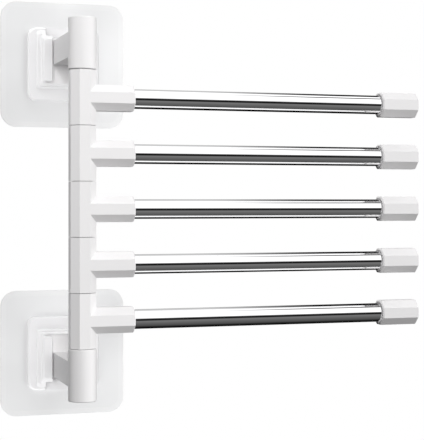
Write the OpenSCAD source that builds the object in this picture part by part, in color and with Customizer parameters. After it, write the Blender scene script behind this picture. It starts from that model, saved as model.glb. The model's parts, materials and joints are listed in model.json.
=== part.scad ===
// Swing arm towel bar: five chromed arms turn on one steel shaft that two brackets hold
// off the wall. Each bracket ends in a foot, which slides into a base on a self-adhesive
// wall plate.
// The wall is the plane Y = 0 and the object stands out from it towards -Y. The arms point
// along +X, parallel to the wall, and +Z is up. The origin lies on the wall, midway between
// the two wall plates and in line with the shaft.
// The lower half of the mounting is the upper half mirrored in the plane Z = 0.

/* [Wall plates] */
// Width and height of each square wall plate
plate_w = 80; // [72:1:100]
// Corner radius of a wall plate
plate_corner_r = 10; // [4:1:16]
// Thickness of a wall plate
plate_t = 1.2; // [1:0.1:2]
// Thickness of the adhesive pad behind a wall plate
pad_t = 0.6; // [0.4:0.1:1.2]
// How far the adhesive pad stays inside the edge of its plate
pad_inset = 2.5; // [1:0.5:6]

/* [Slide bases] */
// Width of a base
base_w = 46; // [42:1:52]
// Height of a base
base_h = 46.8; // [44:0.2:52]
// Corner radius of a base
base_corner_r = 5; // [2:0.5:8]
// Distance from the wall to the front of the base's first terrace
base_front = 5.6; // [5:0.1:8]
// Height of the second terrace above the first
deck_rise = 1.4; // [0.8:0.1:3]
// Height of the third terrace above the second
ridge_rise = 1; // [0.6:0.1:2]
// Height of the rails above the third terrace
rail_rise = 1.2; // [0.8:0.1:2]
// Width of each ledge that the terraces leave at the sides
ledge_w = 2.6; // [2:0.1:3]

/* [Brackets] */
// Distance from the wall to the shaft's axis
standoff = 61.6; // [50:0.1:90]
// Diameter of the round post at the end of a bracket
post_d = 17.2; // [16:0.1:22]
// Length of the post
post_len = 31.4; // [24:0.2:44]
// Width of the neck between the post and the foot
neck_w = 14.8; // [10:0.2:15.4]
// Height of the neck
neck_h = 15.4; // [10:0.2:20]
// Distance from the middle of the wall plate out to the middle of the neck
neck_offset = 7.2; // [5:0.2:8]
// Width of the foot that slides into the base
foot_w = 24; // [22:0.5:26]
// Thickness of the foot
foot_t = 2.1; // [1.5:0.1:2.4]

/* [Arms] */
// Distance between the middles of two neighbouring arms
hub_pitch = 33.5; // [24:0.5:50]
// Width across the flats of the octagonal hubs, collars and end caps
section_w = 15.7; // [15:0.1:16.5]
// Distance from the shaft's axis to the end of the collar
collar_reach = 31.2; // [26:0.2:50]
// Length of tube that shows between the collar and the end cap
tube_show = 163.5; // [80:0.5:300]
// Outer diameter of the tube
tube_d = 12; // [9:0.1:12.4]
// Wall of the tube
tube_wall = 0.8; // [0.5:0.1:1.5]
// Length of the end cap
cap_len = 25.2; // [18:0.2:40]
// How deep the tube sits in the collar and in the end cap
socket_depth = 12; // [8:0.5:15]
// Bevel around the ends of the collar and the cap
end_bevel = 0.7; // [0.3:0.1:1]

/* [Shaft] */
// Diameter of the shaft
shaft_d = 6; // [5:0.1:7]
// Diameter of the threaded ends of the shaft
thread_d = 5; // [4:0.1:5]
// Width across the flats of a shaft nut
nut_w = 8; // [7:0.1:8.5]
// Height of a shaft nut
nut_h = 4; // [3:0.1:5]
// Diameter of the steel washer under a nut
washer_d = 10; // [9.5:0.1:10.5]
// Thickness of the steel washer under a nut
washer_t = 1; // [0.6:0.1:1.5]
// Diameter of the thin spacer washers between the hubs
spacer_d = 12; // [10:0.2:14]
// Thickness of a spacer washer, which is the seam that shows between two hubs
spacer_t = 0.3; // [0.2:0.05:0.8]

/* [Clearances] */
// Radial running clearance between a hub and the shaft
shaft_clearance = 0.08; // [0.03:0.01:0.1]
// Radial clearance of what is pressed or slid together and then stays put
seat_clearance = 0.05; // [0.02:0.01:0.1]
// Clearance around a foot in its base
slide_clearance = 0.1; // [0.05:0.05:0.2]

/* [Hidden] */
// What the file draws: all, or one name of the list
// Number of arms
arm_count = 5;
SIDES = ["upper", "lower"];
ARMS = [for (k = [1:arm_count]) k];

// Facets: round stays round above 12, and blended slabs take fewer
$fn = 96;
blend_fn = 32;
// Sides of the arms' section and of a nut
section_sides = 8;
nut_sides = 6;
// How far a cut runs past what it cuts
overrun = 1;

// Heights along the shaft, from the middle outwards
stack_half = arm_count * hub_pitch / 2;
post_start = stack_half + spacer_t / 2;
post_mid = post_start + post_len / 2;
post_end = post_start + post_len;
plate_mid = post_mid - neck_offset;

// Distances from the wall
plate_front = pad_t + plate_t;
deck_front = base_front + deck_rise;
ridge_front = deck_front + ridge_rise;
rail_front = ridge_front + rail_rise;
rail_t = 2.5;
rail_back = rail_front - rail_t;
foot_front = rail_back - slide_clearance;
foot_back = foot_front - foot_t;
channel_back = foot_back - slide_clearance;

// Hidden flange of the base, held between the wall plate and the adhesive pad
flange_lap = 4;
flange_t = plate_t / 2;

// Margins of the terraces: the first ledge, the ridge across the channel's inner end and the
// gap from there to the rails
deck_side = 5;
deck_end = 7.9;
ridge_lip = 1.7;
rail_gap = 0.9;
rail_side = 0.4;
// Bevels of the terraces at the sides, at the outer end and along the slot
terrace_bevel = 0.9;
outer_bevel = 2.2;
slot_bevel = 0.8;
// Corner radii of the upper terraces at their outer and inner ends and of the slot's inner mouth
deck_corner_r = 2.4;
deck_inner_r = 1;
slot_corner_r = 2.2;

// Outlines of the terraces, inward and outward of the middle of the plate
deck_w = base_w - 2 * deck_side;
ridge_w = deck_w - 2 * ledge_w;
rail_w = ridge_w - 2 * terrace_bevel - 2 * rail_side;
deck_inner = base_h / 2 - deck_end;
ridge_inner = deck_inner - ledge_w * 2 / 3;
channel_inner = ridge_inner - ridge_lip;
rail_inner = channel_inner - rail_gap;
deck_outer = base_h / 2 - ledge_w * 3 / 4;
ridge_outer = deck_outer - ledge_w * 2 / 3;
rail_outer = ridge_outer - ledge_w * 2 / 3;
// Clear width between the two rails, which the neck passes through
neck_clearance = 0.25;
slot_w = neck_w + 2 * neck_clearance;
channel_w = foot_w + 2 * slide_clearance;

// Foot of the bracket, inward and outward of the middle of the plate
foot_toe = 2.2;
foot_inner = channel_inner - slide_clearance;
foot_outer = neck_offset + neck_h / 2 + foot_toe;

// Pocket for the nut and its washer in the outer end of the post, closed by the end plug
pocket_d = 11;
pocket_depth = 9;
plug_t = 2;
post_bevel = 0.4;
thread_play = 0.1;
thread_tail = 1;
shoulder_gap = 0.5;
nut_seat = post_end - pocket_depth;

// Arms
hub_len = hub_pitch - spacer_t;
hub_bore_d = shaft_d + 2 * shaft_clearance;
socket_d = tube_d + 2 * seat_clearance;
mouth_gap = 0.9;
mouth_depth = 1.2;
tube_len = tube_show + 2 * socket_depth;
tube_start = collar_reach - socket_depth;
cap_start = collar_reach + tube_show;

// Colours as the object shows them
white_plastic = [0.94, 0.94, 0.94];
plate_white = [0.9, 0.91, 0.92];
pad_white = [0.8, 0.82, 0.84];
chrome = [0.72, 0.73, 0.75];
steel = [0.6, 0.61, 0.63];

// Height of arm k, where arm 1 is the top one
function arm_z(k) = ((arm_count + 1) / 2 - k) * hub_pitch;
// Radius of the corners of an octagon or hexagon from its width across the flats
function corner_radius(width, sides) = width / 2 / cos(180 / sides);

// Drawn flat on the wall with X across, Y up and Z out from the wall, at the height of the
// upper plate, or mirrored to the lower one
module on_wall(side) {
    mirror([0, 0, side == "upper" ? 0 : 1])
        translate([0, 0, plate_mid])
            rotate([90, 0, 0])
                children();
}

// Upper post's axis and height, or mirrored to the lower one
module on_shaft(side) {
    mirror([0, 0, side == "upper" ? 0 : 1])
        translate([0, -standoff, 0])
            children();
}

// Rectangle with round corners from y0 to y1
module round_rect(w, y0, y1, r) {
    for (x = [-w / 2 + r, w / 2 - r])
        for (y = [y0 + r, y1 - r])
            translate([x, y])
                circle(r);
    translate([-w / 2 + r, y0])
        square([w - 2 * r, y1 - y0]);
    translate([-w / 2, y0 + r])
        square([w, y1 - y0 - 2 * r]);
}

// Plan of a slab whose inner and outer corners differ
module slab_plan(w, y0, y1, inner_r, outer_r) {
    round_rect(w, y0, y1, outer_r, $fn = blend_fn);
    round_rect(w, y0, (y0 + y1) / 2, inner_r, $fn = blend_fn);
}

// Raised slab with bevelled sides and a longer slope at its outer end
module terrace(w, inner, outer, inner_r, outer_r, back, front, bevel, slope) {
    hull() {
        translate([0, 0, back])
            linear_extrude(front - back - bevel)
                slab_plan(w, -inner, outer, inner_r, outer_r);
        translate([0, 0, back])
            linear_extrude(front - back)
                slab_plan(w - 2 * bevel, bevel - inner, outer - slope, inner_r, outer_r);
    }
}

// Bar of octagonal section along Z with a bevel at each end
module octagon_bar(length, bevel_low, bevel_high) {
    half = section_w / 2;
    intersection_for (turn = [0:360 / section_sides:180 - 360 / section_sides])
        rotate([0, 0, turn])
            rotate([90, 0, 0])
                linear_extrude(section_w * 2, center = true)
                    polygon([
                        [-half, bevel_low],
                        [bevel_low - half, 0],
                        [half - bevel_low, 0],
                        [half, bevel_low],
                        [half, length - bevel_high],
                        [half - bevel_high, length],
                        [bevel_high - half, length],
                        [-half, length - bevel_high]
                    ]);
}

// Socket along Z that takes the tube, with a wider mouth at its open end
module tube_socket() {
    translate([0, 0, -overrun])
        cylinder(d = socket_d + 2 * mouth_gap, h = mouth_depth + overrun);
    cylinder(d = socket_d, h = socket_depth);
}

module ring(outer_d, inner_d, height) {
    difference() {
        cylinder(d = outer_d, h = height);
        translate([0, 0, -overrun])
            cylinder(d = inner_d, h = height + 2 * overrun);
    }
}

// Foam pad that sticks the wall plate to the wall
module adhesive_pad(side) {
    half = plate_w / 2 - pad_inset;
    color(pad_white)
        on_wall(side)
            linear_extrude(pad_t)
                round_rect(2 * half, -half, half, plate_corner_r - pad_inset);
}

// Thin square plate with a window for the base and a pocket behind for the base's flange
module wall_plate(side) {
    window_w = base_w + 2 * slide_clearance;
    window_h = base_h / 2 + slide_clearance;
    window_r = base_corner_r + slide_clearance;
    color(plate_white)
        on_wall(side)
            difference() {
                translate([0, 0, pad_t])
                    linear_extrude(plate_t)
                        round_rect(plate_w, -plate_w / 2, plate_w / 2, plate_corner_r);
                linear_extrude(plate_front + overrun)
                    round_rect(window_w, -window_h, window_h, window_r);
                linear_extrude(pad_t + flange_t)
                    round_rect(
                        window_w + 2 * flange_lap,
                        -window_h - flange_lap,
                        window_h + flange_lap,
                        window_r + flange_lap
                    );
            }
}

// Base with three terraces and two rails, between which the bracket's foot slides in
module slide_base(side) {
    flange_h = base_h / 2 + flange_lap;
    color(white_plastic)
        on_wall(side) {
            difference() {
                union() {
                    translate([0, 0, pad_t])
                        linear_extrude(flange_t)
                            round_rect(
                                base_w + 2 * flange_lap,
                                -flange_h,
                                flange_h,
                                base_corner_r + flange_lap
                            );
                    terrace(base_w, base_h / 2, base_h / 2, base_corner_r, base_corner_r,
                        pad_t, base_front, terrace_bevel, terrace_bevel);
                    terrace(deck_w, deck_inner, deck_outer, deck_inner_r, deck_corner_r,
                        pad_t, deck_front, terrace_bevel, outer_bevel);
                    terrace(ridge_w, ridge_inner, ridge_outer, deck_inner_r, deck_corner_r,
                        pad_t, ridge_front, terrace_bevel, outer_bevel);
                }
                translate([-channel_w / 2, -channel_inner, channel_back])
                    cube([channel_w, channel_inner + base_h / 2 + overrun, rail_front]);
            }
            difference() {
                terrace(rail_w, rail_inner, rail_outer, deck_inner_r, slot_corner_r,
                    rail_back, rail_front, terrace_bevel, outer_bevel);
                translate([0, 0, rail_back - overrun])
                    linear_extrude(rail_t + 2 * overrun)
                        slot_outline();
                rotate([90, 0, 0])
                    linear_extrude(base_h, center = true)
                        polygon([
                            [-slot_w / 2, rail_front - slot_bevel],
                            [slot_w / 2, rail_front - slot_bevel],
                            [slot_w / 2 + slot_bevel + overrun, rail_front + overrun],
                            [-slot_w / 2 - slot_bevel - overrun, rail_front + overrun]
                        ]);
            }
        }
}

// Plan of the slot between the rails, which flares at its inner mouth
module slot_outline() {
    mouth = -rail_inner;
    translate([-slot_w / 2, mouth - overrun])
        square([slot_w, rail_inner + rail_outer + 2 * overrun]);
    difference() {
        translate([-slot_w / 2 - slot_corner_r, mouth - overrun])
            square([slot_w + 2 * slot_corner_r, slot_corner_r + overrun]);
        for (x = [-slot_w / 2 - slot_corner_r, slot_w / 2 + slot_corner_r])
            translate([x, mouth + slot_corner_r])
                circle(slot_corner_r, $fn = blend_fn);
    }
}

// Foot, neck and round post in one moulding
module bracket(side) {
    color(white_plastic)
        difference() {
            union() {
                on_wall(side) {
                    rotate([90, 0, 90])
                        linear_extrude(foot_w, center = true)
                            polygon([
                                [-foot_inner, foot_back],
                                [foot_outer, foot_back],
                                [foot_outer - foot_t / 2, foot_front],
                                [-foot_inner, foot_front]
                            ]);
                    translate([-neck_w / 2, neck_offset - neck_h / 2, foot_back])
                        cube([neck_w, neck_h, standoff - foot_back]);
                }
                on_shaft(side)
                    translate([0, 0, post_start])
                        post_body();
            }
            on_shaft(side)
                bracket_bores();
        }
}

// Round post with a small bevel at both ends
module post_body() {
    rotate_extrude()
        polygon([
            [0, 0],
            [post_d / 2 - post_bevel, 0],
            [post_d / 2, post_bevel],
            [post_d / 2, post_len - post_bevel],
            [post_d / 2 - post_bevel, post_len],
            [0, post_len]
        ]);
}

// Bore for the shaft and pocket for the nut
module bracket_bores() {
    translate([0, 0, post_start - overrun])
        cylinder(d = shaft_d + 2 * seat_clearance, h = post_len - pocket_depth + 2 * overrun);
    translate([0, 0, nut_seat])
        cylinder(d = pocket_d, h = pocket_depth + overrun);
}

// Plug that closes the nut's pocket, flush with the end of the post
module end_plug(side) {
    color(white_plastic)
        on_shaft(side)
            translate([0, 0, post_end - plug_t])
                cylinder(d = pocket_d - 2 * seat_clearance, h = plug_t);
}

// Steel shaft through both brackets and all the hubs, with a threaded end at each nut
module pivot_shaft() {
    body_half = nut_seat - shoulder_gap;
    thread_half = nut_seat + washer_t + nut_h + thread_tail;
    color(steel)
        translate([0, -standoff, 0]) {
            cylinder(d = shaft_d, h = 2 * body_half, center = true);
            cylinder(d = thread_d, h = 2 * thread_half, center = true);
        }
}

// Steel washers under the two nuts
module shaft_washers() {
    color(steel)
        for (side = SIDES)
            on_shaft(side)
                translate([0, 0, nut_seat])
                    ring(washer_d, thread_d + 2 * thread_play, washer_t);
}

// Two nuts that hold the stack of hubs together
module shaft_nuts() {
    color(steel)
        for (side = SIDES)
            on_shaft(side)
                translate([0, 0, nut_seat + washer_t])
                    difference() {
                        cylinder(r = corner_radius(nut_w, nut_sides), h = nut_h, $fn = nut_sides);
                        translate([0, 0, -overrun])
                            cylinder(d = thread_d + 2 * seat_clearance, h = nut_h + 2 * overrun);
                    }
}

// Spacer washer k, where washer 1 lies on top of the stack
module spacer_washer(k) {
    color(pad_white)
        translate([0, -standoff, arm_z(k) + (hub_pitch - spacer_t) / 2])
            ring(spacer_d, hub_bore_d, spacer_t);
}

// Octagonal hub of arm k with the collar that holds the tube
module arm_hub(k) {
    color(white_plastic)
        translate([0, -standoff, arm_z(k)])
            difference() {
                union() {
                    translate([0, 0, -hub_len / 2])
                        octagon_bar(hub_len, 0, 0);
                    rotate([0, 90, 0])
                        octagon_bar(collar_reach, 0, end_bevel);
                }
                translate([0, 0, -hub_len])
                    cylinder(d = hub_bore_d, h = 2 * hub_len);
                translate([collar_reach, 0, 0])
                    rotate([0, -90, 0])
                        tube_socket();
            }
}

// Chromed tube of arm k
module arm_tube(k) {
    color(chrome)
        translate([tube_start, -standoff, arm_z(k)])
            rotate([0, 90, 0])
                ring(tube_d, tube_d - 2 * tube_wall, tube_len);
}

// Octagonal end cap of arm k, closed at its far end
module arm_end_cap(k) {
    color(white_plastic)
        translate([cap_start, -standoff, arm_z(k)])
            rotate([0, 90, 0])
                difference() {
                    octagon_bar(cap_len, end_bevel, end_bevel);
                    tube_socket();
                }
}

for (s = SIDES) {
    adhesive_pad(s);
    wall_plate(s);
    slide_base(s);
    bracket(s);
    end_plug(s);
}
pivot_shaft();
shaft_washers();
shaft_nuts();
for (k = [1:arm_count + 1]) {
    spacer_washer(k);
}
for (k = ARMS) {
    arm_hub(k);
    arm_tube(k);
    arm_end_cap(k);
}
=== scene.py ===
import bpy
import json
import math
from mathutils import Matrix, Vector


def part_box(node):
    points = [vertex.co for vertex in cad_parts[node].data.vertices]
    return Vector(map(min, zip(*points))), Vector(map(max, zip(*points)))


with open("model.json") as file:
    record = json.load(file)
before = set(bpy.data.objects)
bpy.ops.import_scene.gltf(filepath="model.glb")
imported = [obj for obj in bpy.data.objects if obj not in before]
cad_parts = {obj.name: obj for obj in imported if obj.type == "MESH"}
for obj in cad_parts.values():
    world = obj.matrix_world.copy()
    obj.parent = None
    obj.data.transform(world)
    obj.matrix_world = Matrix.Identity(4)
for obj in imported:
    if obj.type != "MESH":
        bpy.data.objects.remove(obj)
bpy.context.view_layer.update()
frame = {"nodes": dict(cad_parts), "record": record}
nodes = frame["nodes"]
print("towel bar frame loaded:", len(nodes), "nodes")

mm = 0.001

# Camera, as the photo was taken: level, turned a little to the right, with a long lens
photoCamera = {
    "place": (-0.1665, -0.8402, 0.0041),
    "turn": -17.69,  # degrees about Z from looking along +Y
    "lens": 107.78,
    "sensor": 36.0,
    "shiftUp": -0.0401,
    "clip": (0.01, 200),
}


def makeCamera(look):
    data = bpy.data.cameras.new("photoCamera")
    data.sensor_fit = "VERTICAL"
    data.sensor_height = look["sensor"]
    data.lens = look["lens"]
    data.shift_y = look["shiftUp"]
    data.clip_start, data.clip_end = look["clip"]
    camera = bpy.data.objects.new("photoCamera", data)
    camera.location = look["place"]
    camera.rotation_euler = (math.radians(90), 0, math.radians(look["turn"]))
    bpy.context.scene.collection.objects.link(camera)
    bpy.context.scene.camera = camera
    bpy.context.scene.view_settings.view_transform = "Standard"


makeCamera(photoCamera)
print("camera placed")


# Small helpers for node trees, where x and y place a node in the editor

def addNode(tree, kind, x, y, **settings):
    node = tree.nodes.new(kind)
    node.location = (x, y)
    for name, value in settings.items():
        setattr(node, name, value)
    return node


def feed(tree, socket, value):
    # A number or a colour is set on the socket, and an output is linked to it
    if isinstance(value, (int, float)):
        socket.default_value = value
    elif isinstance(value, tuple):
        socket.default_value = (*value, 1)
    else:
        tree.links.new(value, socket)


def mathNode(tree, operation, x, y, *values, clamp=False):
    node = addNode(tree, "ShaderNodeMath", x, y, operation=operation, use_clamp=clamp)
    for slot, value in enumerate(values):
        feed(tree, node.inputs[slot], value)
    return node.outputs[0]


def splitVector(tree, x, y, vector):
    node = addNode(tree, "ShaderNodeSeparateXYZ", x, y)
    feed(tree, node.inputs[0], vector)
    return node.outputs


def noiseNode(tree, x, y, vector, scale, detail, roughness=0.5, twist=0.0):
    node = addNode(tree, "ShaderNodeTexNoise", x, y)
    feed(tree, node.inputs["Vector"], vector)
    feed(tree, node.inputs["Scale"], scale)
    node.inputs["Detail"].default_value = detail
    node.inputs["Roughness"].default_value = roughness
    node.inputs["Distortion"].default_value = twist
    return node.outputs["Fac"]


def spread(tree, x, y, value, low, high, start=0.0, end=1.0, kind="LINEAR"):
    # Goes from low to high while the value goes from start to end
    node = addNode(tree, "ShaderNodeMapRange", x, y, interpolation_type=kind)
    node.inputs["From Min"].default_value = start
    node.inputs["From Max"].default_value = end
    node.inputs["To Min"].default_value = low
    node.inputs["To Max"].default_value = high
    feed(tree, node.inputs["Value"], value)
    return node.outputs["Result"]


def fade(tree, x, y, value, start, end, low=0.0):
    return spread(tree, x, y, value, low, 1.0, start, end, kind="SMOOTHSTEP")


def tone(tree, x, y, factor, first, second):
    node = addNode(tree, "ShaderNodeMix", x, y, data_type="RGBA")
    feed(tree, node.inputs["Factor"], factor)
    feed(tree, node.inputs["A"], first)
    feed(tree, node.inputs["B"], second)
    return node.outputs["Result"]


def blendShaders(tree, x, y, factor, first, second):
    node = addNode(tree, "ShaderNodeMixShader", x, y)
    feed(tree, node.inputs["Fac"], factor)
    feed(tree, node.inputs[1], first)
    feed(tree, node.inputs[2], second)
    return node.outputs[0]


def bumpNode(tree, x, y, height, depth, under=None):
    node = addNode(tree, "ShaderNodeBump", x, y)
    node.inputs["Distance"].default_value = depth
    feed(tree, node.inputs["Height"], height)
    if under is not None:
        feed(tree, node.inputs["Normal"], under)
    return node.outputs["Normal"]


def newGroup(name, vectors, numbers, outputs):
    # A group that takes vectors and numbers and puts out masks
    group = bpy.data.node_groups.new(name, "ShaderNodeTree")
    for label in vectors:
        group.interface.new_socket(label, in_out="INPUT", socket_type="NodeSocketVector")
    for label in numbers:
        group.interface.new_socket(label, in_out="INPUT", socket_type="NodeSocketFloat")
    for label in outputs:
        group.interface.new_socket(label, in_out="OUTPUT", socket_type="NodeSocketFloat")
    entry = addNode(group, "NodeGroupInput", -1000, 0)
    leave = addNode(group, "NodeGroupOutput", 800, 0)
    return group, entry.outputs, leave.inputs


# Effects that several finishes share. Their sizes are in millimetres.

grainNoise = {
    "detail": 2.0,
    "flowDetail": 3.0,
    "flowTwist": 0.6,
}


def makeMouldGrain(look):
    # Fine pebble of a moulding tool, with the slow flow marks of the melt under it
    sizes = ["Grain Size", "Flow Size"]
    group, entry, leave = newGroup("mouldGrain", ["Vector"], sizes, ["Grain", "Flow"])
    grainScale = mathNode(group, "DIVIDE", -800, 200, 1 / mm, entry["Grain Size"])
    flowScale = mathNode(group, "DIVIDE", -800, -200, 1 / mm, entry["Flow Size"])
    detail, twist = look["flowDetail"], look["flowTwist"]
    grain = noiseNode(group, -500, 200, entry["Vector"], grainScale, look["detail"])
    flow = noiseNode(group, -500, -200, entry["Vector"], flowScale, detail, twist=twist)
    feed(group, leave["Grain"], grain)
    feed(group, leave["Flow"], flow)
    return group


smearNoise = {
    "detail": 4.0,
    "roughness": 0.6,
    "startsAt": 0.46,
    "gain": 4.0,
}


def makeHandling(look):
    # Faint smears where fingers push the part, as patches from 0 to the amount
    group, entry, leave = newGroup("handlingSmears", ["Vector"], ["Patch Size", "Amount"], ["Smear"])
    scale = mathNode(group, "DIVIDE", -800, 200, 1 / mm, entry["Patch Size"])
    patch = noiseNode(group, -500, 200, entry["Vector"], scale, look["detail"], look["roughness"])
    cut = mathNode(group, "SUBTRACT", -250, 200, patch, look["startsAt"])
    patches = mathNode(group, "MULTIPLY", -50, 200, cut, look["gain"], clamp=True)
    feed(group, leave["Smear"], mathNode(group, "MULTIPLY", 200, 200, patches, entry["Amount"]))
    return group


lineNoise = {
    "detail": 3.0,
    "gain": 6.0,
}


def makeHairlines(look):
    # Hairline scratches along one axis: stretched noise, cut to the share of its peaks
    group, entry, leave = newGroup("hairlines", ["Vector", "Stretch"], ["Share"], ["Line"])
    stretch = addNode(group, "ShaderNodeVectorMath", -700, 0, operation="MULTIPLY")
    feed(group, stretch.inputs[0], entry["Vector"])
    feed(group, stretch.inputs[1], entry["Stretch"])
    noise = noiseNode(group, -450, 0, stretch.outputs[0], 1.0, look["detail"])
    least = mathNode(group, "SUBTRACT", -250, -150, 1.0, entry["Share"])
    above = mathNode(group, "SUBTRACT", 0, 0, noise, least)
    feed(group, leave["Line"], mathNode(group, "MULTIPLY", 250, 0, above, look["gain"], clamp=True))
    return group


shared = {
    "grain": makeMouldGrain(grainNoise),
    "smears": makeHandling(smearNoise),
    "hairlines": makeHairlines(lineNoise),
}
print("shared effects built")


def startMaterial(name):
    material = bpy.data.materials.new(name)
    material.use_nodes = True
    tree = material.node_tree
    shader = tree.nodes["Principled BSDF"]
    shader.location = (500, 0)
    tree.nodes["Material Output"].location = (850, 0)
    place = addNode(tree, "ShaderNodeTexCoord", -1100, 0).outputs["Object"]
    return material, tree, shader, place


def placeGroup(tree, label, x, y, vector, values):
    node = addNode(tree, "ShaderNodeGroup", x, y, node_tree=shared[label])
    feed(tree, node.inputs["Vector"], vector)
    for name, value in values.items():
        node.inputs[name].default_value = value
    return node.outputs


# White moulded ABS of the hubs, collars, brackets and plugs
whiteAbs = {
    "name": "whiteAbs",
    "colour": (0.795, 0.786, 0.789),
    "shade": (0.776, 0.767, 0.771),
    "gloss": (0.3, 0.38),
    "grain": {"Grain Size": 0.45, "Flow Size": 16.0},
    "grainDepth": 0.0025 * mm,
    "smears": {"Patch Size": 14.0, "Amount": 0.6},
    "ior": 1.5,
}

# The slide bases are the same plastic with a finer skin
baseAbs = {
    **whiteAbs,
    "name": "baseAbs",
    "colour": (0.785, 0.782, 0.791),
    "shade": (0.770, 0.767, 0.775),
    "grain": {"Grain Size": 0.6, "Flow Size": 16.0},
    "grainDepth": 0.0008 * mm,
}

# The end caps are a shade greyer. Painted shade darkens the face of each cap round the tube, most of all
# underneath, standing in for the shadow in the socket's mouth.
# The painted ring is measured from the arm's axis, which repeats at the pitch of the arms.
capAbs = {
    **whiteAbs,
    "name": "capAbs",
    "colour": (0.735, 0.726, 0.73),
    "shade": (0.717, 0.71, 0.714),
    "grain": {"Grain Size": 0.45, "Flow Size": 12.0},
    "mouth": {
        "pitch": 33.5 * mm,
        "axisY": -61.6 * mm,
        "offset": (0.9 * mm, -0.5 * mm),  # of the dark ring from the axis, in Y and Z
        "radius": (6.9 * mm, 7.5 * mm),  # up to which the ring is full, and where it ends
        "depth": (0.06 * mm, 0.35 * mm),  # of the dark from the face, before the axis and behind it
        "dark": (0.02, 0.02, 0.022),
        "amount": (1.0, 0.3),  # of the painted shade, below and above the tube
    },
}


def paintedSocketShade(tree, place, look):
    # Mask of the painted shade: a dark ring in the face of a cap round the tube, fullest below it
    offsetY, offsetZ = look["offset"]
    full, faded = look["radius"]
    shallow, deep = look["depth"]
    below, above = look["amount"]
    half = look["pitch"] / 2
    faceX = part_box("arm_1_end_cap")[0].x
    parts = splitVector(tree, -1300, 900, place)
    height = mathNode(tree, "WRAP", -1100, 900, parts["Z"], half, -half)
    up = mathNode(tree, "SUBTRACT", -950, 950, height, offsetZ)
    back = mathNode(tree, "SUBTRACT", -1100, 750, parts["Y"], look["axisY"] + offsetY)
    backSquared = mathNode(tree, "MULTIPLY", -900, 750, back, back)
    squares = mathNode(tree, "MULTIPLY_ADD", -750, 800, up, up, backSquared)
    near = fade(tree, -450, 800, mathNode(tree, "SQRT", -600, 800, squares), faded, full)
    isBehind = mathNode(tree, "GREATER_THAN", -750, 1050, back, 0.0)
    depth = mathNode(tree, "MULTIPLY_ADD", -600, 1050, isBehind, deep - shallow, faceX + shallow)
    atFace = mathNode(tree, "LESS_THAN", -450, 1050, parts["X"], depth)
    amount = spread(tree, -450, 1250, up, below, above, -full, full)
    ring = mathNode(tree, "MULTIPLY", -250, 900, near, atFace)
    return mathNode(tree, "MULTIPLY", -100, 1000, ring, amount)


def makeWhiteAbs(look):
    material, tree, shader, place = startMaterial(look["name"])
    grain = placeGroup(tree, "grain", -800, 200, place, look["grain"])
    smears = placeGroup(tree, "smears", -800, -200, place, look["smears"])
    body = tone(tree, -300, 300, grain["Flow"], look["shade"], look["colour"])
    if "mouth" in look:
        # Painted shade: the cap's face round the tube is darkened, most of all below the tube
        mouth = paintedSocketShade(tree, place, look["mouth"])
        body = tone(tree, 100, 500, mouth, body, look["mouth"]["dark"])
    feed(tree, shader.inputs["Base Color"], body)
    total = mathNode(tree, "ADD", -500, -200, grain["Flow"], smears["Smear"])
    mean = mathNode(tree, "MULTIPLY", -350, -200, total, 0.5)
    feed(tree, shader.inputs["Roughness"], spread(tree, -150, -200, mean, *look["gloss"]))
    feed(tree, shader.inputs["Normal"], bumpNode(tree, 150, -400, grain["Grain"], look["grainDepth"]))
    shader.inputs["IOR"].default_value = look["ior"]
    return material


# Cooler white sheet of the wall plates. The pad behind leaves a paler rim and a faint line.
plateSheet = {
    "colour": (0.814, 0.817, 0.822),
    "flow": (0.829, 0.832, 0.836),
    "rim": (0.839, 0.842, 0.845),
    "gloss": (0.32, 0.42),
    "corner": 10 * mm,
    "rimWidth": 3.2 * mm,
    "lineWidth": 0.5 * mm,
    "lineDepth": 0.02 * mm,
    "grain": {"Grain Size": 0.6, "Flow Size": 24.0},
    "grainDepth": 0.002 * mm,
}


def distanceInside(tree, place, corner):
    # How far a point lies inside a plate's edge. The lower plate mirrors the upper one.
    low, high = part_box("upper_wall_plate")
    middle, half = (low.z + high.z) / 2, (high.z - low.z) / 2
    parts = splitVector(tree, -1100, -500, place)
    across = mathNode(tree, "ABSOLUTE", -950, -450, parts["X"])
    height = mathNode(tree, "ABSOLUTE", -950, -600, parts["Z"])
    up = mathNode(tree, "ABSOLUTE", -650, -600, mathNode(tree, "SUBTRACT", -800, -600, height, middle))
    beyond = []
    for y, value in ((-450, across), (-600, up)):
        past = mathNode(tree, "SUBTRACT", -500, y, value, half - corner)
        beyond.append(mathNode(tree, "MAXIMUM", -350, y, past, 0.0))
    square = mathNode(tree, "MULTIPLY", -200, -450, beyond[0], beyond[0])
    squares = mathNode(tree, "MULTIPLY_ADD", -50, -500, beyond[1], beyond[1], square)
    return mathNode(tree, "SUBTRACT", 250, -500, corner, mathNode(tree, "SQRT", 100, -500, squares))


def makePlateSheet(look):
    material, tree, shader, place = startMaterial("plateSheet")
    inside = distanceInside(tree, place, look["corner"])
    rim = fade(tree, -600, 600, inside, look["rimWidth"] + look["lineWidth"], look["rimWidth"])
    fromLine = mathNode(tree, "SUBTRACT", -600, 850, inside, look["rimWidth"])
    line = fade(tree, -300, 850, mathNode(tree, "ABSOLUTE", -450, 850, fromLine), look["lineWidth"], 0.0)
    grain = placeGroup(tree, "grain", -800, 200, place, look["grain"])
    body = tone(tree, -300, 300, grain["Flow"], look["colour"], look["flow"])
    feed(tree, shader.inputs["Base Color"], tone(tree, 0, 300, rim, body, look["rim"]))
    feed(tree, shader.inputs["Roughness"], spread(tree, -150, -200, grain["Flow"], *look["gloss"]))
    groove = bumpNode(tree, 0, -350, mathNode(tree, "SUBTRACT", -100, 850, 1.0, line), look["lineDepth"])
    skin = bumpNode(tree, 250, -350, grain["Grain"], look["grainDepth"], under=groove)
    feed(tree, shader.inputs["Normal"], skin)
    return material


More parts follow.
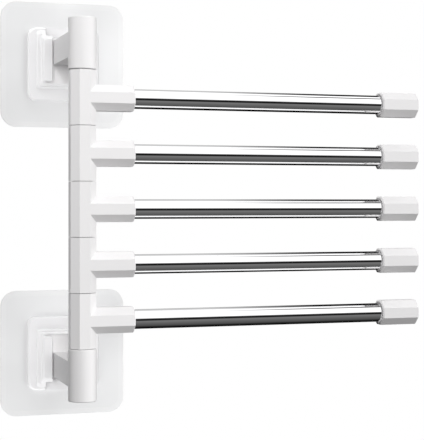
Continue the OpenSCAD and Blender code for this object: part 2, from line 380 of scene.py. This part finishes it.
# Closed-cell acrylic foam tape of the pads
adhesiveFoam = {
    "colour": (0.72, 0.74, 0.75),
    "cell": (0.6, 0.63, 0.65),
    "gloss": (0.75, 0.9),
    "cellSize": 0.5 * mm,
    "cellDepth": 0.03 * mm,
    "grain": {"Grain Size": 1.5, "Flow Size": 20.0},
}


def makeAdhesiveFoam(look):
    material, tree, shader, place = startMaterial("adhesiveFoam")
    cells = addNode(tree, "ShaderNodeTexVoronoi", -700, 0)
    cells.inputs["Scale"].default_value = 1 / look["cellSize"]
    feed(tree, cells.inputs["Vector"], place)
    fromMiddle = cells.outputs["Distance"]
    grain = placeGroup(tree, "grain", -800, 350, place, look["grain"])
    pits = mathNode(tree, "MULTIPLY", -450, 0, fromMiddle, grain["Flow"], clamp=True)
    feed(tree, shader.inputs["Base Color"], tone(tree, -200, 200, pits, look["cell"], look["colour"]))
    feed(tree, shader.inputs["Roughness"], spread(tree, -150, -200, grain["Grain"], *look["gloss"]))
    feed(tree, shader.inputs["Normal"], bumpNode(tree, 150, -400, fromMiddle, look["cellDepth"]))
    return material


# Bright chrome plate on the tubes, with hairlines along them
chromedTube = {
    "name": "chromedTube",
    "colour": (0.93, 0.93, 0.935),
    "worn": (0.86, 0.86, 0.87),
    "gloss": (0.02, 0.06),
    "lines": {"Stretch": (40.0, 2600.0, 2600.0), "Share": 0.38},
    "lineDepth": 0.00015 * mm,
    "smears": {"Patch Size": 22.0, "Amount": 0.5},
    "tintedLines": False,
}

# Bare turned steel of the shaft, washers and nuts, with the turning marks round it
shaftSteel = {
    "name": "shaftSteel",
    "colour": (0.6, 0.6, 0.61),
    "worn": (0.42, 0.42, 0.43),
    "gloss": (0.3, 0.44),
    "lines": {"Stretch": (90.0, 90.0, 9000.0), "Share": 0.5},
    "lineDepth": 0.004 * mm,
    "smears": {"Patch Size": 9.0, "Amount": 0.7},
    "tintedLines": True,
}


def makeMetal(look):
    material, tree, shader, place = startMaterial(look["name"])
    smear = placeGroup(tree, "smears", -800, 200, place, look["smears"])["Smear"]
    line = placeGroup(tree, "hairlines", -800, -200, place, look["lines"])["Line"]
    both = mathNode(tree, "MAXIMUM", -500, 0, smear, line)
    wear = both if look["tintedLines"] else smear
    feed(tree, shader.inputs["Base Color"], tone(tree, -300, 300, wear, look["colour"], look["worn"]))
    feed(tree, shader.inputs["Roughness"], spread(tree, -300, -100, both, *look["gloss"]))
    feed(tree, shader.inputs["Normal"], bumpNode(tree, 150, -400, line, look["lineDepth"]))
    shader.inputs["Metallic"].default_value = 1.0
    return material


# Natural nylon of the spacer washers between the hubs
spacerNylon = {
    "colour": (0.2, 0.2, 0.2),
    "pale": (0.27, 0.27, 0.265),
    "gloss": (0.5, 0.62),
    "grain": {"Grain Size": 0.25, "Flow Size": 4.0},
    "grainDepth": 0.006 * mm,
}


def makeSpacerNylon(look):
    material, tree, shader, place = startMaterial("spacerNylon")
    grain = placeGroup(tree, "grain", -800, 200, place, look["grain"])
    body = tone(tree, -300, 300, grain["Flow"], look["colour"], look["pale"])
    feed(tree, shader.inputs["Base Color"], body)
    feed(tree, shader.inputs["Roughness"], spread(tree, -150, -200, grain["Grain"], *look["gloss"]))
    feed(tree, shader.inputs["Normal"], bumpNode(tree, 150, -400, grain["Grain"], look["grainDepth"]))
    return material


# One finish for each material slot of the record, then those of the bases and caps
finishes = {
    "white_abs": makeWhiteAbs(whiteAbs),
    "plate_sheet": makePlateSheet(plateSheet),
    "adhesive_foam": makeAdhesiveFoam(adhesiveFoam),
    "chromed_tube": makeMetal(chromedTube),
    "shaft_steel": makeMetal(shaftSteel),
    "spacer_nylon": makeSpacerNylon(spacerNylon),
    "base": makeWhiteAbs(baseAbs),
    "cap": makeWhiteAbs(capAbs),
}
print("finishes made:", ", ".join(sorted(finishes)))


# Pieces whose finish departs a little from that of their slot, by the end of their name
ownFinish = {"_slide_base": "base", "_end_cap": "cap"}

# Soft edges of the mouldings
softEdges = {
    "widths": {
        "_hub": 0.3 * mm,
        "_end_cap": 0.3 * mm,
        "_bracket": 0.35 * mm,
        "_wall_plate": 0.1 * mm,
        "_end_plug": 0.12 * mm,
    },
    "segments": 2,
    "sharpFrom": 28,  # degrees between two faces
    "weldWithin": 0.002 * mm,
}


def softenEdges(piece, width, look):
    weld = piece.modifiers.new("weld", "WELD")
    weld.merge_threshold = look["weldWithin"]
    bevel = piece.modifiers.new("softEdge", "BEVEL")
    bevel.width = width
    bevel.segments = look["segments"]
    bevel.limit_method = "ANGLE"
    bevel.angle_limit = math.radians(look["sharpFrom"])
    bevel.harden_normals = False
    bevel.use_clamp_overlap = True
    normals = piece.modifiers.new("evenNormals", "WEIGHTED_NORMAL")
    normals.keep_sharp = True


def dressNodes(edges):
    slots = {part["node"]: part["material_slot"] for part in frame["record"]["subparts"]}
    for name, piece in nodes.items():
        material = finishes[slots[name]]
        for ending, finish in ownFinish.items():
            if name.endswith(ending):
                material = finishes[finish]
        if not piece.material_slots:
            piece.data.materials.append(material)
        for slot in piece.material_slots:
            slot.material = material
        for ending, width in edges["widths"].items():
            if name.endswith(ending):
                softenEdges(piece, width, edges)


dressNodes(softEdges)
print("nodes dressed")


# Studio: a pale floor well below, soft boxes, and a world whose bands only the chrome sees

# Each box has its place, its size, its power and the set of pieces that it lights, or None for all
softBoxes = {
    "frontBox": ((-0.17, -1.1, 0.265), (0.5, 0.5), 4.7, "arms"),
    "highLeftBox": ((-0.33, -0.45, 0.55), (0.3, 0.3), 1.45, "upper"),
    "leftBox": ((-0.7, -0.7, 0.3), (0.5, 0.5), 2.25, "upper"),
    "lowLeftBox": ((-0.3, -1.05, 0.2), (0.4, 0.4), 3.6, "low"),
    "rightBox": ((0.95, -0.435, 0.14), (0.6, 0.9), 7.9, "arms"),
    "backBox": ((0.1, 1.0, 0.5), (0.9, 0.7), 9.5, None),
    "plateFront": ((-0.1, -1.1, 0.0), (0.8, 0.6), 3.5, "plates"),
    "plateRight": ((0.6, -0.6, 0.0), (0.5, 0.5), 1.3, "plates"),
    "plateHighRight": ((0.4, -0.4, 0.5), (0.4, 0.4), 1.35, "plates"),
    "plateLowRight": ((0.4, -0.4, -0.5), (0.4, 0.4), 1.35, "plates"),
    "plateTop": ((0.0, -0.2, 0.6), (0.3, 0.2), 0.75, "plates"),
    "plateSide": ((0.6, -0.2, 0.1), (0.3, 0.3), 0.4, "plates"),
    "plateLowLeft": ((-0.4, -0.4, -0.4), (0.4, 0.4), 1.35, "plates"),
    "baseFront": ((-0.1, -1.1, 0.0), (0.8, 0.6), 1.45, "bases"),
    "baseRight": ((0.6, -0.6, 0.0), (0.5, 0.5), 1.7, "bases"),
    "baseHighRight": ((0.4, -0.4, 0.5), (0.4, 0.4), 1.0, "bases"),
    "baseLowRight": ((0.4, -0.4, -0.5), (0.4, 0.4), 1.0, "bases"),
    "baseLeft": ((-0.5, -0.5, 0.0), (0.3, 0.3), 1.65, "bases"),
    "baseHighLeft": ((-0.4, -0.15, 0.4), (0.3, 0.3), 0.6, "bases"),
    "baseHigh": ((-0.15, -0.2, 0.6), (0.3, 0.2), 1.1, "bases"),
    "baseLow": ((-0.15, -0.14, -0.6), (0.3, 0.2), 2.35, "bases"),
    "upperBase": ((-0.15, -0.2, 0.6), (0.3, 0.2), 0.6, "upperBase"),
    "lowerBase": ((0.15, -0.35, -0.55), (0.3, 0.3), 0.4, "lowerBase"),
}
boxesAimAt = (0.08, -0.03, 0.0)

# The plates and bases have boxes of their own, and there only the bases and the brackets cast
# shadows. So the arms leave the wall side evenly lit, as in the photo.
wallSide = ("_wall_plate", "_slide_base")
lowPieces = ("lower_bracket", "arm_5_hub")
litSets = {
    "arms": [name for name in nodes if not name.endswith(wallSide)],
    "upper": [name for name in nodes if not name.endswith(wallSide) and name not in lowPieces],
    "low": lowPieces,
    "plates": [name for name in nodes if name.endswith("_wall_plate")],
    "bases": [name for name in nodes if name.endswith("_slide_base")],
    "upperBase": ["upper_slide_base"],
    "lowerBase": ["lower_slide_base"],
}
basesAndBrackets = [name for name in nodes if name.endswith(("_slide_base", "_bracket"))]
shadowSets = {
    "plates": basesAndBrackets,
    "bases": basesAndBrackets,
    "upperBase": basesAndBrackets,
    "lowerBase": ["lower_slide_base"],
}


def collect(label, names):
    group = bpy.data.collections.new(label)
    for name in names:
        group.objects.link(nodes[name])
    return group


def makeBoxes(boxes, aim):
    lit = {label: collect(label + "Lit", names) for label, names in litSets.items()}
    shadows = {label: collect(label + "Shade", names) for label, names in shadowSets.items()}
    for name, (place, size, power, only) in boxes.items():
        data = bpy.data.lights.new(name, "AREA")
        data.shape = "RECTANGLE"
        data.size, data.size_y = size
        data.energy = power
        lamp = bpy.data.objects.new(name, data)
        lamp.location = place
        lamp.rotation_euler = (Vector(aim) - lamp.location).to_track_quat("-Z", "Y").to_euler()
        lamp.visible_glossy = False
        lamp.visible_camera = False
        if only in lit:
            lamp.light_linking.receiver_collection = lit[only]
        if only in shadows:
            lamp.light_linking.blocker_collection = shadows[only]
        bpy.context.scene.collection.objects.link(lamp)


# What the chrome sees, by the angle around the arms' direction: 0 is in front, 90 above, 180 behind
# and -90 below. Each stop has its angle and its level. The high bands change with how much of the
# direction is along X, from those at the hubs to those at the caps.
chromeSees = {
    "low": [
        (-180, 0.3), (-158, 0.0), (-130, 0.0), (-98, 0.02), (-84, 0.075), (-64, 0.105), (-50, 0.13),
        (-36, 0.16), (-26, 0.2), (-19, 0.14), (-13, 0.01), (-2, 0.0), (5, 0.08), (10, 0.6),
    ],
    "highAtHubs": [
        (10, 0.6), (14, 1.3), (68.5, 1.3), (72, 1.15), (82, 1.15), (85.5, 1.3), (104, 1.3), (109, 1.1),
        (115, 0.7), (160, 0.5), (170, 0.5), (180, 0.3),
    ],
    "highAtCaps": [
        (10, 0.6), (14, 1.3), (68.5, 1.3), (72, 0.03), (82, 0.03), (85.5, 1.3), (104, 1.3), (109, 0.4),
        (115, 0.0), (160, 0.0), (170, 0.15), (180, 0.3),
    ],
    "change": (0.29, 0.385),
    "mirrored": (1.25, 1.25, 1.25),  # what is seen in an arm that is mirrored in another one
}

# Soft light of the world on all that isn't chrome, as the most that comes from above and from +X
softSky = {"above": 0.5, "beside": 0.2}


def turnAt(degrees):
    # The angle as a share of a full turn that starts behind the bar
    return (degrees + 180) / 360


def bandRamp(tree, x, y, turn, stops):
    start, end = stops[0][0], stops[-1][0]
    node = addNode(tree, "ShaderNodeValToRGB", x, y)
    elements = node.color_ramp.elements
    elements.remove(elements[-1])
    for index, (degrees, level) in enumerate(stops):
        share = (degrees - start) / (end - start)
        element = elements[0] if index == 0 else elements.new(share)
        element.position = share
        element.color = (level, level, level, 1)
    feed(tree, node.inputs["Fac"], spread(tree, x - 200, y, turn, 0.0, 1.0, turnAt(start), turnAt(end)))
    return node.outputs["Color"]


def chromeBands(tree, parts, look):
    front = mathNode(tree, "MULTIPLY", -1000, -100, parts["Y"], -1.0)
    angle = mathNode(tree, "ARCTAN2", -800, 0, parts["Z"], front)
    turn = mathNode(tree, "MULTIPLY_ADD", -600, 0, angle, 0.5 / math.pi, 0.5)
    low = bandRamp(tree, -100, 150, turn, look["low"])
    atCaps = bandRamp(tree, -100, -150, turn, look["highAtCaps"])
    atHubs = bandRamp(tree, -100, -400, turn, look["highAtHubs"])
    along = fade(tree, -100, -650, parts["X"], *look["change"])
    high = tone(tree, 100, -250, along, atHubs, atCaps)
    isHigh = mathNode(tree, "GREATER_THAN", -100, 400, turn, turnAt(look["low"][-1][0]))
    return tone(tree, 300, 100, isHigh, low, high)


def skyLevel(tree, parts, look):
    # From each side the light grows with the square, from none on the far side
    levels = []
    for y, axis, most in ((-300, "Z", look["above"]), (-550, "X", look["beside"])):
        half = mathNode(tree, "MULTIPLY_ADD", 0, y, parts[axis], 0.5, 0.5)
        square = mathNode(tree, "MULTIPLY", 150, y, half, half)
        levels.append(mathNode(tree, "MULTIPLY", 300, y, square, most))
    return mathNode(tree, "ADD", 450, -400, *levels)


def background(tree, x, y, colour):
    node = addNode(tree, "ShaderNodeBackground", x, y)
    feed(tree, node.inputs["Color"], colour)
    return node.outputs[0]


def makeWorld(bands, sky):
    world = bpy.data.worlds.new("studioWorld")
    bpy.context.scene.world = world
    world.use_nodes = True
    tree = world.node_tree
    tree.nodes.clear()
    direction = addNode(tree, "ShaderNodeTexCoord", -1400, 0).outputs["Generated"]
    parts = splitVector(tree, -1200, 0, direction)
    rays = addNode(tree, "ShaderNodeLightPath", -100, 700).outputs
    # On the second mirroring all is plain white, so that the bands stay clean
    again = mathNode(tree, "GREATER_THAN", 300, 900, rays["Glossy Depth"], 1.5)
    strips = tone(tree, 450, 250, again, chromeBands(tree, parts, bands), bands["mirrored"])
    ambient = background(tree, 500, -200, skyLevel(tree, parts, sky))
    chrome = background(tree, 500, 100, strips)
    white = background(tree, 500, 400, (1, 1, 1))
    unseen = blendShaders(tree, 750, 0, rays["Is Glossy Ray"], ambient, chrome)
    isSeen = mathNode(tree, "MAXIMUM", 500, 700, rays["Is Camera Ray"], rays["Is Transmission Ray"])
    leave = addNode(tree, "ShaderNodeOutputWorld", 1250, 200)
    feed(tree, leave.inputs["Surface"], blendShaders(tree, 1000, 200, isSeen, unseen, white))


# White paper floor, which keeps some of the bar's shadow and turns plain white further off
floorPaper = {
    "height": -0.62,
    "size": 120.0,
    "colour": (0.9, 0.9, 0.9),
    "shade": (0.891, 0.891, 0.891),
    "roughness": 0.9,
    "grain": {"Grain Size": 3.0, "Flow Size": 400.0},
    "leastWhite": 0.35,
    "fade": (0.75, 1.8),  # distances from the origin
}


def makeFloor(look):
    half, height = look["size"] / 2, look["height"]
    corners = [(x, y, height) for x, y in ((-half, -half), (half, -half), (half, half), (-half, half))]
    mesh = bpy.data.meshes.new("studioFloor")
    mesh.from_pydata(corners, [], [(0, 1, 2, 3)])
    floor = bpy.data.objects.new("studioFloor", mesh)
    bpy.context.scene.collection.objects.link(floor)
    material, tree, shader, place = startMaterial("floorPaper")
    grain = placeGroup(tree, "grain", -800, 200, place, look["grain"])
    body = tone(tree, -300, 300, grain["Flow"], look["shade"], look["colour"])
    feed(tree, shader.inputs["Base Color"], body)
    shader.inputs["Roughness"].default_value = look["roughness"]
    shader.inputs["Specular IOR Level"].default_value = 0.0
    rays = addNode(tree, "ShaderNodeLightPath", 0, 900).outputs
    away = addNode(tree, "ShaderNodeVectorMath", -500, 700, operation="LENGTH")
    feed(tree, away.inputs[0], place)
    far = fade(tree, -250, 700, away.outputs["Value"], *look["fade"], low=look["leastWhite"])
    isWhite = mathNode(tree, "MULTIPLY", 250, 700, rays["Is Camera Ray"], far)
    white = addNode(tree, "ShaderNodeEmission", 500, 300).outputs[0]
    material.cycles.emission_sampling = "NONE"  # or the floor would take the lamps' share of the samples
    paper = blendShaders(tree, 750, 100, isWhite, shader.outputs[0], white)
    # From below the floor is clear
    clear = addNode(tree, "ShaderNodeBsdfTransparent", 750, 400).outputs[0]
    isBack = addNode(tree, "ShaderNodeNewGeometry", 750, 600).outputs["Backfacing"]
    leave = tree.nodes["Material Output"]
    leave.location = (1250, 200)
    feed(tree, leave.inputs["Surface"], blendShaders(tree, 1000, 300, isBack, paper, clear))
    mesh.materials.append(material)
    floor.visible_glossy = False
    floor.visible_diffuse = False


makeWorld(chromeSees, softSky)
makeFloor(floorPaper)
makeBoxes(softBoxes, boxesAimAt)
print("studio lit")
